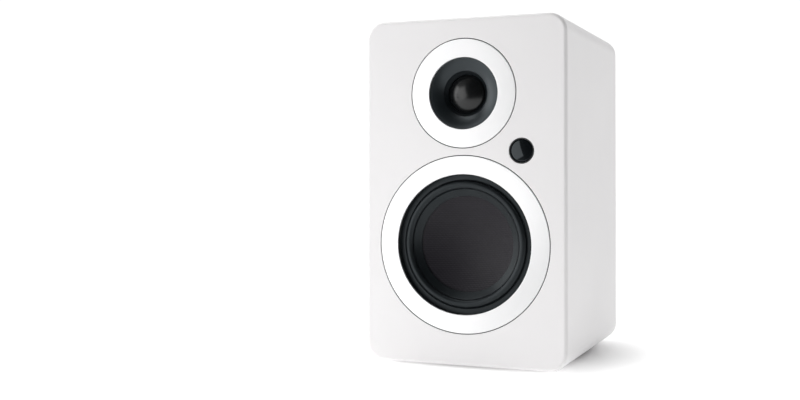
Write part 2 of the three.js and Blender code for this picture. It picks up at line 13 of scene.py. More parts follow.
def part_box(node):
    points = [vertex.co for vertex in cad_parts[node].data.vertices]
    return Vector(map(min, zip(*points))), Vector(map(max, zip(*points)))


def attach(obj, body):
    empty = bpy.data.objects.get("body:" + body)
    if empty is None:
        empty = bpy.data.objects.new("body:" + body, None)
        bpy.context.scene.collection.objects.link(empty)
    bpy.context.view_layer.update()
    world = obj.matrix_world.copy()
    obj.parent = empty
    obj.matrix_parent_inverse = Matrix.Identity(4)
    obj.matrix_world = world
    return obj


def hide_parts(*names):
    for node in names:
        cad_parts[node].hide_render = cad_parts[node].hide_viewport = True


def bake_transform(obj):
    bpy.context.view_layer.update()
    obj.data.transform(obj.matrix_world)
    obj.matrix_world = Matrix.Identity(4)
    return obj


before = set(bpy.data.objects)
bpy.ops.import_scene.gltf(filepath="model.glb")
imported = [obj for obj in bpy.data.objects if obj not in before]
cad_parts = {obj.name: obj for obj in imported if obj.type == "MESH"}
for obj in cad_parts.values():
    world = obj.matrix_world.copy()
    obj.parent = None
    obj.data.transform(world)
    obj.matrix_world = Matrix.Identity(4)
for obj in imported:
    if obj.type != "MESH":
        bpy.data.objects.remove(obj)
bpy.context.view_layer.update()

MM = 0.001
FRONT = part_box("front_baffle")[0].y
CABINET_LOW, CABINET_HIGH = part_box("cabinet_sleeve")
CABINET = "cabinet"


def middle(node):
    low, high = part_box(node)
    return (low + high) / 2


def depth_of(y):
    """Depth in millimetres behind the front face of a place along Y."""
    return (y - FRONT) / MM


def span(node):
    """Front and back depth of a CAD node, in millimetres."""
    low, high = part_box(node)
    return depth_of(low.y), depth_of(high.y)


def face_size(node):
    """Width and height of a CAD node, in millimetres."""
    low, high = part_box(node)
    return (high.x - low.x) / MM, (high.z - low.z) / MM


def outer_radius(node):
    low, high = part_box(node)
    return (high.x - low.x) / 2 / MM


WOOFER = middle("woofer_trim_ring")
TWEETER = middle("tweeter_trim_ring")
CONTROL = middle("control_knob")
PORT = middle("port_tube")
REAR = span("rear_panel")[1]
PLATE_BACK = span("amp_plate")[1]
BAFFLE_BACK = span("front_baffle")[1]
CABINET_SIZE = (CABINET_HIGH - CABINET_LOW) / MM
CABINET_CENTRE = (CABINET_LOW + CABINET_HIGH) / 2
CORNER, EDGE, WALL, INNER_CORNER = 12.5, 2.5, 12.0, 3.0

# ---------------------------------------------------------------- materials


class Nodes:
    """A material's node tree, with short calls for the few kinds of node that are used here."""

    def __init__(self, name):
        self.material = bpy.data.materials.new(name)
        self.material.use_nodes = True
        self.tree = self.material.node_tree
        self.shader = self.tree.nodes["Principled BSDF"]
        self.place = self.add("ShaderNodeTexCoord").outputs["Object"]

    def add(self, kind, **settings):
        node = self.tree.nodes.new(kind)
        for key, value in settings.items():
            setattr(node, key, value)
        return node

    def feed(self, socket, value):
        if isinstance(value, bpy.types.NodeSocket):
            self.tree.links.new(value, socket)
        elif value is not None:
            socket.default_value = value

    def math(self, operation, a, b=None):
        node = self.add("ShaderNodeMath", operation=operation)
        self.feed(node.inputs[0], a)
        self.feed(node.inputs[1], b)
        return node.outputs[0]

    def vector(self, operation, a, b=None):
        node = self.add("ShaderNodeVectorMath", operation=operation)
        self.feed(node.inputs[0], a)
        self.feed(node.inputs[1], b)
        return node.outputs["Value" if operation == "LENGTH" else "Vector"]

    def axes(self, vector=None):
        node = self.add("ShaderNodeSeparateXYZ")
        self.feed(node.inputs[0], vector or self.place)
        return node.outputs["X"], node.outputs["Y"], node.outputs["Z"]

    def noise(self, scale, detail=3.0, vector=None):
        node = self.add("ShaderNodeTexNoise")
        self.feed(node.inputs["Vector"], vector or self.place)
        node.inputs["Scale"].default_value = scale
        node.inputs["Detail"].default_value = detail
        return node.outputs["Fac"]

    def span(self, value, low, high, source=(0.25, 0.75)):
        node = self.add("ShaderNodeMapRange")
        self.feed(node.inputs["Value"], value)
        node.inputs["From Min"].default_value, node.inputs["From Max"].default_value = source
        node.inputs["To Min"].default_value, node.inputs["To Max"].default_value = low, high
        return node.outputs["Result"]

    def mix(self, share, first, second):
        node = self.add("ShaderNodeMix", data_type="RGBA")
        self.feed(node.inputs["Factor"], share)
        self.feed(node.inputs["A"], rgba(first))
        self.feed(node.inputs["B"], rgba(second))
        return node.outputs["Result"]

    def bump(self, height, distance, below=None):
        node = self.add("ShaderNodeBump")
        node.inputs["Distance"].default_value = distance
        self.feed(node.inputs["Height"], height)
        self.feed(node.inputs["Normal"], below)
        return node.outputs["Normal"]

    def finish(self, color, roughness, normal=None, **fixed):
        self.feed(self.shader.inputs["Base Color"], rgba(color))
        self.feed(self.shader.inputs["Roughness"], roughness)
        if normal:
            self.feed(self.shader.inputs["Normal"], normal)
        for name, value in fixed.items():
            self.shader.inputs[name.replace("_", " ").title().replace("Ior", "IOR")].default_value = value
        return self.material


def rgba(color):
    return (*color, 1.0) if isinstance(color, tuple) and len(color) == 3 else color


def scaled(color, factor):
    return tuple(min(1.0, c * factor) for c in color)


def moulded(name, color, roughness, shade=0.12, grain=1500, depth=4e-6, tint=(1, 1, 1), **fixed):
    """A plain surface with a fine grain, slight shade drift and uneven gloss."""
    n = Nodes(name)
    n.shader.inputs["Specular Tint"].default_value = (*tint, 1.0)
    drift = n.noise(35, 2)
    tone = n.mix(n.span(drift, 0, 1), scaled(color, 1 - shade), scaled(color, 1 + shade))
    gloss = n.span(n.noise(110, 4), roughness * 0.9, roughness * 1.1)
    return n.finish(tone, gloss, n.bump(n.noise(grain, 2), depth), **fixed)


def satin_paint():
    """White lacquer over fibreboard: a soft orange peel under an even satin gloss."""
    n = Nodes("satin_white_paint")
    tone = n.mix(n.span(n.noise(14, 2), 0, 1), (0.846, 0.833, 0.838), (0.866, 0.854, 0.858))
    peel = n.bump(n.noise(420, 2), 6e-6)
    fine = n.bump(n.noise(2600, 1), 1.2e-6, peel)
    gloss = n.span(n.noise(60, 3), 0.36, 0.44)
    return n.finish(tone, gloss, fine, specular_ior_level=0.4)


def spun_metal(name, centre, color=(0.84, 0.84, 0.845), roughness=0.34, stretch=0.6):
    """A flat face turned on a lathe: fine rings about its centre, seen as fans of light. It is only partly
    metallic, as pale and soft as satin anodising."""
    n = Nodes(name)
    away = n.vector("SUBTRACT", n.place, tuple(centre))
    flat = n.vector("MULTIPLY", away, (1, 0, 1))
    radius = n.vector("LENGTH", flat)
    line = n.add("ShaderNodeCombineXYZ")
    n.feed(line.inputs["X"], radius)
    rings = n.noise(9000, 3, line.outputs[0])
    broad = n.noise(1400, 2, line.outputs[0])
    tone = n.mix(n.span(broad, 0, 1), scaled(color, 0.985), color)
    gloss = n.span(rings, roughness * 0.85, roughness * 1.15)
    tangent = n.add("ShaderNodeTangent", direction_type="RADIAL", axis="Y")
    n.feed(n.shader.inputs["Tangent"], tangent.outputs[0])
    return n.finish(tone, gloss, n.bump(rings, 6e-7), metallic=0.6, anisotropic=stretch)


def plain_metal(name, color, roughness, scratch=2200, stretch=(1, 1, 1), **fixed):
    n = Nodes(name)
    grain = n.noise(scratch, 4, n.vector("MULTIPLY", n.place, stretch))
    tone = n.mix(n.span(n.noise(60, 3), 0, 1), scaled(color, 0.9), color)
    gloss = n.span(grain, roughness * 0.75, roughness * 1.3)
    return n.finish(tone, gloss, n.bump(grain, 2e-6), metallic=1.0, **fixed)


def woven(name, color, pitch, roughness, depth, tint=None, **fixed):
    """Plain weave across the front: threads cross in a chequer, and the level ones stand a little proud. The
    colour follows that relief as painted shade: darker in the hollows, lighter on the proud threads.
    """
    n = Nodes(name)
    x, _, z = n.axes()
    across = n.math("SINE", n.math("MULTIPLY", x, math.pi / pitch))
    up = n.math("SINE", n.math("MULTIPLY", z, math.pi / pitch))
    chequer = n.math("MULTIPLY", across, up)
    level = n.math("ABSOLUTE", up)
    cloth = n.math("ADD", n.math("MULTIPLY", chequer, 0.35), level)
    fibre = n.math("MULTIPLY", n.noise(5200, 2), 0.25)
    height = n.math("ADD", cloth, fibre)
    # painted shade: colour darkens with the weave's depth, so hollows are dark and proud threads light
    tone = n.mix(n.span(height, 0, 1, (-0.2, 1.4)), scaled(color, 0.75), tint or scaled(color, 1.25))
    gloss = n.span(n.noise(300, 3), roughness * 0.9, roughness * 1.12)
    return n.finish(tone, gloss, n.bump(height, depth), **fixed)


def wound_wire(name, color):
    """Turns of lacquered wire lying side by side along the coil, painted darker in the grooves between turns
    as shade.
    """
    n = Nodes(name)
    _, y, _ = n.axes()
    turns = n.math("ABSOLUTE", n.math("SINE", n.math("MULTIPLY", y, math.pi / 0.00028)))
    # painted shade: the colour darkens in the grooves between turns
    tone = n.mix(turns, scaled(color, 0.45), color)
    return n.finish(tone, n.span(n.noise(900, 2), 0.25, 0.4), n.bump(turns, 4e-5), metallic=1.0)


def circuit_board():
    """Green solder mask over copper tracks."""
    n = Nodes("circuit_board")
    tracks = n.add("ShaderNodeTexBrick")
    turned_flat = n.add("ShaderNodeMapping")
    turned_flat.inputs["Rotation"].default_value = (math.pi / 2, 0, 0)
    n.feed(turned_flat.inputs["Vector"], n.place)
    n.feed(tracks.inputs["Vector"], turned_flat.outputs[0])
    tracks.inputs["Scale"].default_value = 160
    tracks.inputs["Mortar Size"].default_value = 0.035
    mask = n.mix(tracks.outputs["Fac"], (0.012, 0.085, 0.035), (0.045, 0.20, 0.085))
    gloss = n.span(n.noise(400, 2), 0.28, 0.4)
    return n.finish(mask, gloss, n.bump(tracks.outputs["Fac"], 3e-5), coat_weight=0.3)


def fibre_wadding():
    n = Nodes("wadding_fibre")
    clump = n.noise(60, 4)
    strand = n.noise(1100, 5)
    tone = n.mix(n.span(clump, 0, 1), (0.62, 0.61, 0.57), (0.80, 0.79, 0.76))
    soft = n.bump(strand, 3e-4, n.bump(clump, 1.2e-3))
    return n.finish(tone, 0.95, soft, sheen_weight=0.5)


PAINT = satin_paint()
TRIM_WOOFER = spun_metal("trim_metal_woofer", WOOFER)
TRIM_TWEETER = spun_metal("trim_metal_tweeter", TWEETER)
BLACK = moulded("black_plastic", (0.020, 0.022, 0.024), 0.42)
COOL = (0.86, 0.95, 1.0)
HORN = moulded("waveguide_plastic", (0.0055, 0.0075, 0.009), 0.34, shade=0.06, grain=2400, depth=2e-6,
               tint=COOL)
PANEL = moulded("amp_panel_coat", (0.018, 0.019, 0.021), 0.52, grain=1300, depth=3e-5)
GLOSS = moulded("gloss_black", (0.0035, 0.0045, 0.0055), 0.05, grain=300, depth=2e-7, tint=COOL,
               specular_ior_level=0.38)
RUBBER = moulded("surround_rubber", (0.0045, 0.0060, 0.0072), 0.38, shade=0.08, grain=1800, depth=2e-6,
                 tint=COOL, specular_ior_level=0.33)
FOOT = moulded("foot_rubber", (0.02, 0.02, 0.021), 0.75, grain=1100, depth=2e-5)
WEAVE = woven("dish_weave", (0.0108, 0.0094, 0.0132), 0.0013, 0.50, 6e-5, specular_ior_level=0.24)
SPIDER = woven("spider_cloth", (0.42, 0.27, 0.11), 0.0006, 0.85, 6e-5)
SILK = woven("dome_silk", (0.004, 0.0045, 0.005), 0.00035, 0.24, 1.0e-6, coat_weight=0.06,
             coat_roughness=0.15, specular_ior_level=0.42)
# black roll cloth, made darker still and less glossy: this paints the shade that the throat casts on the roll
SHADE_DARKENED_CLOTH = woven("roll_cloth_painted_shade", (0.003, 0.004, 0.005), 0.00045, 0.6, 2e-5, specular_ior_level=0.12)
COAT = moulded("pressed_steel_coat", (0.022, 0.022, 0.024), 0.45, grain=1700, depth=1e-5)
ZINC = plain_metal("zinc_plate", (0.62, 0.63, 0.66), 0.32)
NICKEL = plain_metal("nickel_plate", (0.72, 0.70, 0.66), 0.18)
GOLD = plain_metal("gold_plate", (0.80, 0.60, 0.25), 0.22)
SHEET = plain_metal("folded_steel", (0.56, 0.57, 0.58), 0.38, 900, (1, 1, 0.08))
IRON = moulded("varnished_laminations", (0.10, 0.09, 0.085), 0.5, grain=700, depth=3e-5)
FERRITE = moulded("sintered_ferrite", (0.055, 0.055, 0.06), 0.7, shade=0.2, grain=900, depth=4e-5)
COPPER = wound_wire("copper_winding", (0.72, 0.33, 0.14))
BOARD = circuit_board()
STRIP = moulded("phenolic_strip", (0.30, 0.18, 0.09), 0.6, grain=800, depth=1e-5)
RED = moulded("red_plastic", (0.42, 0.012, 0.012), 0.28, grain=900, depth=2e-6)
WHITE = moulded("white_plastic", (0.78, 0.78, 0.76), 0.35, shade=0.03, grain=900, depth=2e-6)
FIBRE = fibre_wadding()

# ---------------------------------------------------------------- mesh helpers


def from_bmesh(name, bm, material):
    """A smooth-shaded object whose sharp edges stay sharp and whose flat faces stay flat."""
    bmesh.ops.remove_doubles(bm, verts=bm.verts, dist=1e-7)
    bmesh.ops.recalc_face_normals(bm, faces=bm.faces)
    for face in bm.faces:
        face.smooth = True
    for edge in bm.edges:
        if len(edge.link_faces) == 2:
            edge.smooth = edge.calc_face_angle() < math.radians(32)
    mesh = bpy.data.meshes.new(name)
    bm.to_mesh(mesh)
    bm.free()
    obj = bpy.data.objects.new(name, mesh)
    bpy.context.scene.collection.objects.link(obj)
    mesh.materials.append(material)
    weighted = obj.modifiers.new("flat_faces", "WEIGHTED_NORMAL")
    weighted.keep_sharp = True
    return obj


def filleted(points, radius, closed, steps=4):
    """Rounds each corner of a profile that turns more than about 25 degrees."""
    rounded = []
    points = [p for p, after in zip(points, [*points[1:], points[0] if closed else None]) if p != after]
    count = len(points)
    for i, point in enumerate(points):
        here = Vector(point)
        if not closed and i in (0, count - 1):
            rounded.append(here)
            continue
        before, after = Vector(points[i - 1]) - here, Vector(points[(i + 1) % count]) - here
        angle = before.angle(after)
        if math.pi - angle < math.radians(25):
            rounded.append(here)
            continue
        reach = min(radius / math.tan(angle / 2), 0.45 * before.length, 0.45 * after.length)
        start, end = here + before.normalized() * reach, here + after.normalized() * reach
        for k in range(steps + 1):
            t = k / steps
            rounded.append(start.lerp(here, t).lerp(here.lerp(end, t), t))
    return rounded


def around(centre, radius, depth, angle, upright=False):
    """A point about the front-to-back axis through centre, or about a vertical one if upright."""
    across, up = radius * math.sin(angle), radius * math.cos(angle)
    if upright:
        return Vector((centre.x + across * MM, centre.y + up * MM, centre.z + depth * MM))
    return Vector((centre.x + across * MM, FRONT + depth * MM, centre.z + up * MM))


def turned(name, profile, centre, material, fillet=0.25, segments=128, ripple=None, upright=False):
    """A profile of (radius, depth) turned about centre. It closes on itself unless it starts and ends on
    the axis. ripple(angle, depth) scales the radius, for flutes and knurls."""
    on_axis = profile[0][0] == 0 and profile[-1][0] == 0
    points = filleted(profile, fillet, not on_axis) if fillet else [Vector(p) for p in profile]
    bm = bmesh.new()
    rows = []
    for radius, depth in points:
        if radius < 1e-6:
            rows.append([bm.verts.new(around(centre, 0, depth, 0, upright))])
            continue
        row = []
        for k in range(segments):
            angle = 2 * math.pi * k / segments
            factor = ripple(angle, depth) if ripple else 1
            row.append(bm.verts.new(around(centre, radius * factor, depth, angle, upright)))
        rows.append(row)
    pairs = list(zip(rows, rows[1:])) + ([] if on_axis else [(rows[-1], rows[0])])
    for a, b in pairs:
        for k in range(segments):
            m = (k + 1) % segments
            corners = [a[k % len(a)], a[m % len(a)], b[m % len(b)], b[k % len(b)]]
            unique = list(dict.fromkeys(corners))
            if len(unique) > 2:
                bm.faces.new(unique)
    return from_bmesh(name, bm, material)


def behind(front, thickness):
    """Closes a front curve into a skin of even depth."""
    return [*front, *[(radius, depth + thickness) for radius, depth in reversed(front)]]


def tube(inner, outer, front, back):
    """A square-edged ring's profile, or a solid cylinder's where inner is zero."""
    return [(inner, front), (outer, front), (outer, back), (inner, back)]


def bowed(start, end, power, steps):
    """A curve between two profile points, its depth following a power of the way along."""
    (radius, depth), (last_radius, last_depth) = start, end
    return curve(steps, lambda t: (radius + (last_radius - radius) * t,
                                   depth + (last_depth - depth) * t ** power))


def rounded_rect(width, height, corner, steps=10):
    """Points round a rectangle with round corners, centred on zero, in millimetres."""
    points = []
    for k, (sx, sz) in enumerate([(1, 1), (-1, 1), (-1, -1), (1, -1)]):
        cx, cz = sx * (width / 2 - corner), sz * (height / 2 - corner)
        for i in range(steps + 1):
            angle = math.pi / 2 * (k + i / steps)
            points.append((cx + corner * math.cos(angle), cz + corner * math.sin(angle)))
    return points


def join_rows(bm, rows):
    """Faces between neighbouring rows of vertices, and one over each end."""
    for a, b in zip(rows, rows[1:]):
        for k in range(len(a)):
            m = (k + 1) % len(a)
            bm.faces.new((a[k], a[m], b[m], b[k]))
    bm.faces.new(rows[0])
    bm.faces.new(rows[-1])


def lofted(name, sections, centre, material):
    """Joins outlines of equal length, given as (depth, points), and closes both ends."""
    bm = bmesh.new()
    rows = [
        [bm.verts.new((centre.x + x * MM, FRONT + depth * MM, centre.z + z * MM)) for x, z in points]
        for depth, points in sections
    ]
    join_rows(bm, rows)
    return from_bmesh(name, bm, material)


def block(name, width, height, front, back, centre, material, corner=0.6, edge=0.3, steps=4):
    """A rectangular piece with round corners across the front and eased front and back edges."""
    sections = []
    for i in range(steps + 1):
        angle = math.pi / 2 * i / steps
        sections.append((front + edge * (1 - math.cos(angle)), edge * (1 - math.sin(angle))))
    sections += [(back - (depth - front), inset) for depth, inset in reversed(sections)]
    outlines = [
        (depth, rounded_rect(width - 2 * inset, height - 2 * inset, max(corner - inset, 0.05), 5))
        for depth, inset in sections
    ]
    return lofted(name, outlines, centre, material)


def combined(base, others, operation):
    """Cuts the other objects out of base, or joins them to it, and removes them."""
    bpy.context.view_layer.update()
    for other in others:
        modifier = base.modifiers.new("shape", "BOOLEAN")
        modifier.object, modifier.operation, modifier.solver = other, operation, "EXACT"
    weighted = base.modifiers.get("flat_faces")
    base.modifiers.remove(weighted)
    graph = bpy.context.evaluated_depsgraph_get()
    result = bpy.data.meshes.new_from_object(base.evaluated_get(graph), depsgraph=graph)
    for other in others:
        bpy.data.objects.remove(other)
    name, material = base.name, base.data.materials[0]
    bpy.data.objects.remove(base)
    bm = bmesh.new()
    bm.from_mesh(result)
    bmesh.ops.dissolve_degenerate(bm, dist=1e-7, edges=bm.edges)
    return from_bmesh(name, bm, material)


def cut(base, *tools):
    return combined(base, tools, "DIFFERENCE")


def fused(base, *parts):
    return combined(base, parts, "UNION")


def show(obj, body, slot, *nodes):
    """Puts a finished piece on its body, in place of the CAD nodes it stands for. The slot argument is not
    used.
    """
    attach(obj, body)
    if nodes:
        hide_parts(*nodes)
    return obj


def flexing(obj, slot, moving, centre, outer, inner, *nodes):
    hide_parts(*nodes)
    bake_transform(obj)
    return obj


def curve(steps, point):
    return [point(i / steps) for i in range(steps + 1)]


# ---------------------------------------------------------------- cabinet


def recess(radius, back, centre, ease=0.35):
    """A round cutter whose mouth opens slightly, so that the painted edge it leaves is eased."""
    mouth = curve(4, lambda t: (radius + ease * (1 - math.sin(t * math.pi / 2)),
                                ease * (1 - math.cos(t * math.pi / 2))))
    profile = [(0, -2), (radius + ease, -2), *mouth, (radius, back), (0, back)]
    return turned("cutter", profile, centre, PAINT, fillet=0, segments=160)


def drill(radius, front, back, centre, segments=128):
    return turned("cutter", tube(0, radius, front, back), centre, PAINT, 0, segments)


def slab_cutter(width, height, corner, front, back, centre):
    outline = rounded_rect(width, height, corner)
    return lofted("cutter", [(front, outline), (back, outline)], centre, PAINT)


def cabinet_shell():
    """The seamless painted box: front board and sleeve in one skin, hollow behind the front board."""
    width, height = CABINET_SIZE.x, CABINET_SIZE.z
    ease = curve(8, lambda t: (EDGE * (1 - math.cos(t * math.pi / 2)),
                               EDGE * (1 - math.sin(t * math.pi / 2))))
    steps = [*ease, *[(REAR - depth, inset) for depth, inset in reversed(ease)]]
    sections = [
        (depth, rounded_rect(width - 2 * inset, height - 2 * inset, CORNER - inset, 16))
        for depth, inset in steps
    ]
    shell = lofted("cabinet_shell", sections, CABINET_CENTRE, PAINT)
    gap = 0.6
    woofer_seat = span("woofer_basket")[0] + 1.2
    tweeter_seat = span("woofer_trim_ring")[1] + 4
    cutters = [
        slab_cutter(width - 2 * WALL, height - 2 * WALL, INNER_CORNER, BAFFLE_BACK, REAR + 2, CABINET_CENTRE),
        recess(outer_radius("woofer_trim_ring") + gap, woofer_seat, WOOFER, 0.12),
        drill(54.5, 1, 20, WOOFER),
        recess(outer_radius("tweeter_trim_ring") + gap, tweeter_seat, TWEETER, 0.12),
        drill(28.6, 1, 20, TWEETER),
        recess(outer_radius("control_bezel") + 0.15, BAFFLE_BACK + 2, CONTROL, 0.15),
    ]
    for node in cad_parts:
        if "screw" in node and ("woofer" in node or "tweeter" in node):
            cutters.append(drill(1.7, 5, span(node)[1] + 0.3, middle(node), 24))
        if node.startswith("grille_magnet"):
            cutters.append(drill(5.3, 2.1, BAFFLE_BACK + 0.5, middle(node), 32))
    return cut(shell, *cutters)


def add_cabinet():
    show(cabinet_shell(), CABINET, "satin_white_paint", "front_baffle", "cabinet_sleeve")
    low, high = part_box("rear_panel")
    size = (high - low) / MM
    panel = block("rear_board", size.x, size.z, REAR - 12, REAR, (low + high) / 2, PAINT, 2.7, 0.8)
    tray_low, tray_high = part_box("amp_tray")
    tray = (tray_high - tray_low) / MM
    panel = cut(
        panel,
        slab_cutter(tray.x + 2, tray.z + 2, 1, REAR - 14, REAR + 2, (tray_low + tray_high) / 2),
        drill(24.3, REAR - 14, REAR + 2, PORT),
    )
    show(panel, CABINET, "satin_white_paint", "rear_panel")
    add_port()
    add_feet()
    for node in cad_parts:
        if node.startswith("grille_magnet"):
            disc = turned(node + "_disc", tube(0, 5, *span(node)), middle(node), NICKEL, 0.4, 48)
            show(disc, CABINET, "magnet_plate", node)


def add_port():
    inner, lip = span("port_tube")
    rim = outer_radius("port_tube")
    flare = curve(16, lambda t: (17 + 6.5 * (1 - math.cos(t * math.pi / 2)),
                                 REAR - 14 + (lip - REAR + 13.6) * math.sin(t * math.pi / 2)))
    profile = [
        (17, inner), *flare, (24.5, lip), (rim - 0.6, lip - 0.2), (rim, lip - 0.8), (rim, REAR),
        (24, REAR), (24, REAR - 12), (19, REAR - 18), (19, inner),
    ]
    show(turned("port_flare", profile, PORT, BLACK, 0.3, 160), CABINET, "port_plastic", "port_tube")


def add_feet():
    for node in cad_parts:
        if node.startswith("foot_"):
            centre = middle(node)
            low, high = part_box(node)
            centre.z = low.z
            height = (high.z - low.z) / MM
            profile = [(0, 0.25), (5.6, 0.25), (6.2, 0), (7.5, 0), (8, 0.5), (8, height), (0, height)]
            foot = turned(node + "_pad", profile, centre, FOOT, 0.2, 64, upright=True)
            show(foot, CABINET, "foot_rubber", node)


def add_wadding():
    """Loose felted lining against three walls, thick and lumpy, and thinner towards its cut edges."""
    low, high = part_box("damping_wadding")
    front, back = span("damping_wadding")
    half = (high.x - low.x) / 2 / MM
    tall = (high.z - low.z) / MM
    centre = Vector(((low.x + high.x) / 2, 0, low.z))
    thick = 9.0

    def section(depth, slack):
        """One U-shaped outline: down the outside, round the two lower corners and back up the inside."""
        inset = thick - slack
        return [
            (-half, tall), (-half, 2.5), (-half + 2.5, 0), (half - 2.5, 0), (half, 2.5), (half, tall),
            (half - inset, tall), (half - inset, inset + 4), (half - inset - 4, inset),
            (-half + inset + 4, inset), (-half + inset, inset + 4), (-half + inset, tall),
        ]

    steps = 12
    sections = []
    for i in range(steps + 1):
        t = i / steps
        slack = 3.0 * (2 * t - 1) ** 6
        sections.append((front + (back - front) * t, section(t, slack)))
    pad = lofted("wadding_sheet", sections, centre, FIBRE)
    bm = bmesh.new()
    bm.from_mesh(pad.data)
    bmesh.ops.triangulate(bm, faces=bm.faces)
    bmesh.ops.subdivide_edges(bm, edges=bm.edges, cuts=2, use_grid_fill=True)
    walls = Vector((half * MM - 0.0006, 0, 0))
    for vert in bm.verts:
        wobble = math.sin(vert.co.y * 190 + vert.co.z * 130) * math.cos(vert.co.z * 170 - vert.co.y * 90)
        inward = 0.0009 * (wobble - 1)
        if abs(vert.co.x) < walls.x:
            vert.co.x += math.copysign(inward, vert.co.x) * (abs(vert.co.x) > walls.x * 0.8)
            vert.co.z += inward * (vert.co.z < low.z + 0.02) * (vert.co.z > low.z + 0.004)
    bm.to_mesh(pad.data)
    bm.free()
    show(pad, CABINET, "wadding", "damping_wadding")


# ---------------------------------------------------------------- woofer

ROLL_OUTER, ROLL_INNER, ROLL_CREST, ROLL_SEAT, ROLL_FOOT = 44.0, 38.2, 2.4, 5.0, 5.5
LIP_EDGE, LIP_DEPTH = 33.3, 8.5


def surround_curve():
    centre, half = (ROLL_OUTER + ROLL_INNER) / 2, (ROLL_OUTER - ROLL_INNER) / 2

    def roll(t):
        base = ROLL_SEAT + (ROLL_FOOT - ROLL_SEAT) * t
        lift = (base - ROLL_CREST) * math.sin(math.pi * t) ** 0.85
        return centre + half * math.cos(math.pi * t), base - lift

    return [(50.2, ROLL_SEAT), (ROLL_OUTER + 0.6, ROLL_SEAT), *curve(28, roll)[1:-1],
            (ROLL_INNER - 0.5, ROLL_FOOT + 0.25), (LIP_EDGE, LIP_DEPTH)]


def dish_curve():
    edge, depth, sag = 33.0, 9.6, 7.4
    bowl = curve(28, lambda t: (edge * t, depth + sag * (1 - t ** 2)))
    return [*bowl, (37.6, 6.9)]


def add_gasket_and_gap_shade(name, rim, centre):
    """A black seal ring sunk in the gap between a trim ring and the paint. It also stands in for the shade in
    that gap, so the gap shows as a thin dark line.
    """
    # black rubber in the gap: partly a seal, partly painted shade in the gap
    profile = tube(rim + 0.05, rim + 0.55, 0.6, 1.6)
    show(turned(name, profile, centre, RUBBER, 0.1, 192), CABINET, "surround_rubber")


def add_woofer():
    front, back = span("woofer_trim_ring")
    rim = outer_radius("woofer_trim_ring")
    ring = turned("woofer_ring_face", tube(48.2, rim, front, back), WOOFER, TRIM_WOOFER, 0.3, 256)
    show(ring, CABINET, "trim_metal", "woofer_trim_ring")
    add_gasket_and_gap_shade("woofer_gasket_gap_shade", rim, WOOFER)
    add_basket()
    surround = turned("half_roll_surround", behind(surround_curve(), 0.75), WOOFER, RUBBER, 0.3, 192)
    flexing(surround, "surround_rubber", "woofer_moving", WOOFER, ROLL_OUTER, ROLL_INNER, "woofer_surround")
    dish = turned("woven_dish", behind(dish_curve(), 0.8), WOOFER, WEAVE, 0.2, 192)
    show(dish, "woofer_moving", "dish_weave", "woofer_cone")
    add_woofer_motor()


def add_basket():
    seat = span("woofer_basket")[0]
    spacer = turned(
        "woofer_spacer_ring",
        [(48.5, 1.5), (60.5, 1.5), (60.5, seat), (50.5, seat), (50.5, 5), (48.5, 5)], WOOFER, BLACK, 0.2, 192,
    )
    basket = turned(
        "pressed_basket",
        [
            (44.6, seat), (60.5, seat), (60.5, seat + 1.2), (53.6, seat + 1.2), (51, 21.4), (39.5, 29.6),
            (32.2, 29.6), (32.2, 35.6), (14.8, 35.6), (14.8, 34.4), (31, 34.4), (31, 28.4), (39, 28.4),
            (49.9, 20.8), (52.3, seat + 1.2), (44.6, seat + 1.2),
        ],
        WOOFER, COAT, 0.6, 144,
    )
    pockets, holes = [], []
    for node in [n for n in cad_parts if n.startswith("woofer_screw")]:
        place = middle(node)
        pockets.append(drill(3.1, 1, 7, place, 32))
        holes.append(drill(1.9, 5, 8, place, 24))
        show(pan_screw(node + "_head", seat, 2.8, 1.8, 1.5, 8.2, place), CABINET, "pressed_steel", node)
    windows = [basket_window(k * math.pi / 3) for k in range(6)]
    show(cut(spacer, *pockets), CABINET, "black_plastic", "woofer_spacer")
    show(cut(basket, *windows, *holes), CABINET, "pressed_steel", "woofer_basket")


def basket_window(angle):
    """A wedge that opens one window between two legs of the basket."""
    half = math.radians(21)
    corners = [(41.5, -half), (41.5, half), (58, half), (58, -half)]
    outline = [(r * math.sin(angle + turn), r * math.cos(angle + turn)) for r, turn in corners]
    return lofted("cutter", [(9, outline), (25.6, outline)], WOOFER, BLACK)


def pan_screw(name, plane, head, height, shank, length, place, material=None, points_back=False):
    """A cross-head screw. Its head stands in front of the given plane, or behind it on the rear panel."""
    way = -1 if points_back else 1
    crown = curve(6, lambda t: (head * math.sin(t * math.pi / 2),
                                plane - way * height * math.cos(t * math.pi / 2)))
    tip = plane + way * length
    profile = [*crown[:-1], (head, plane), (shank, plane), (shank, tip - way * 1.5), (0, tip)]
    screw = turned(name, profile, place, material or COAT, 0.12, 40)
    arms = []
    for width, tall in ((head * 1.1, 0.55), (0.55, head * 1.1)):
        ends = sorted((plane - way * height * 0.35, plane - way * (height + 1)))
        arms.append(block("cutter", width, tall, ends[0], ends[1], place, BLACK, 0.1, 0.02))
    return cut(screw, *arms)


def add_magnet_system(centre, nodes, plate, magnet, yoke, fillet, segments):
    """A driver's steel plate, ring magnet and poled yoke. Each pair is an inner and an outer radius."""
    plate_node, magnet_node, yoke_node = nodes
    plate_front, plate_back = span(plate_node)
    magnet_back = span(magnet_node)[1]
    pole_front, back = span(yoke_node)
    pole, rim = yoke
    poled = [
        (0, pole_front), (pole, pole_front), (pole, magnet_back),
        (rim, magnet_back), (rim, back), (0, back),
    ]
    parts = [
        (plate_node, tube(*plate, plate_front, plate_back), ZINC, "motor_steel"),
        (magnet_node, tube(*magnet, plate_back, magnet_back), FERRITE, "ferrite"),
        (yoke_node, poled, ZINC, "motor_steel"),
    ]
    for node, profile, material, slot in parts:
        show(turned(node + "_body", profile, centre, material, fillet, segments), CABINET, slot, node)


